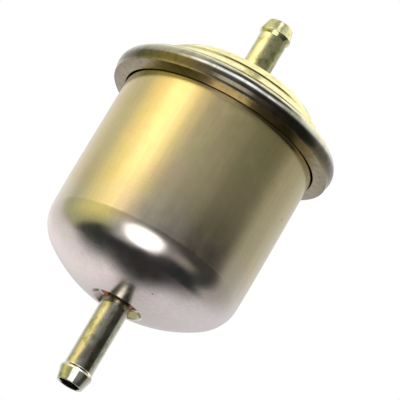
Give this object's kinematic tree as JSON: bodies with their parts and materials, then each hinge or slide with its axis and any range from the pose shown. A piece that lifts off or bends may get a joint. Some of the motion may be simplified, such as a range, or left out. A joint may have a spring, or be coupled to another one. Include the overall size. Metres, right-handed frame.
{
  "type": "in-line fuel filter",
  "caption": "Round plated-steel canister filter with a domed end, a stepped lid in a rolled lip, and a beaded hose spigot on each end.",
  "frame": {"origin": "centre of the inlet spigot's end face, on the filter's axis", "axes": "+Z along the filter's axis from the inlet spigot (domed end) to the outlet spigot (lid end); X and Y are equal, across the can"},
  "size_m": [0.065, 0.065, 0.115],
  "materials": {
    "can_plating": "yellow-passivated zinc plate on drawn steel, satin with a faint iridescence",
    "lid_plating": "yellow-passivated zinc plate on pressed steel, semi-bright",
    "spigot_plating": "yellow-passivated zinc plate on steel tube, semi-bright",
    "copper_braze": "copper braze fillet, dulled by heat",
    "tinned_steel": "thin tinned steel sheet, semi-bright",
    "spring_steel": "oiled spring steel",
    "filter_paper": "resin-cured filter paper, matt",
    "potting": "cured adhesive, matt",
    "rubber": "fuel-resistant rubber, matt"
  },
  "bodies": {
    "root": {"can": "can_plating", "lid": "lid_plating", "seam_seal": "rubber", "inlet_tube": "spigot_plating", "outlet_tube": "spigot_plating", "inlet_braze_ring": "copper_braze", "outlet_braze_ring": "copper_braze", "pleated_paper": "filter_paper", "paper_seam_clip": "tinned_steel", "centre_tube": "tinned_steel", "bottom_end_cap": "tinned_steel", "top_end_cap": "tinned_steel", "bottom_adhesive": "potting", "top_adhesive": "potting", "outlet_grommet": "rubber", "support_spring": "spring_steel"}
  },
  "joints": []
}
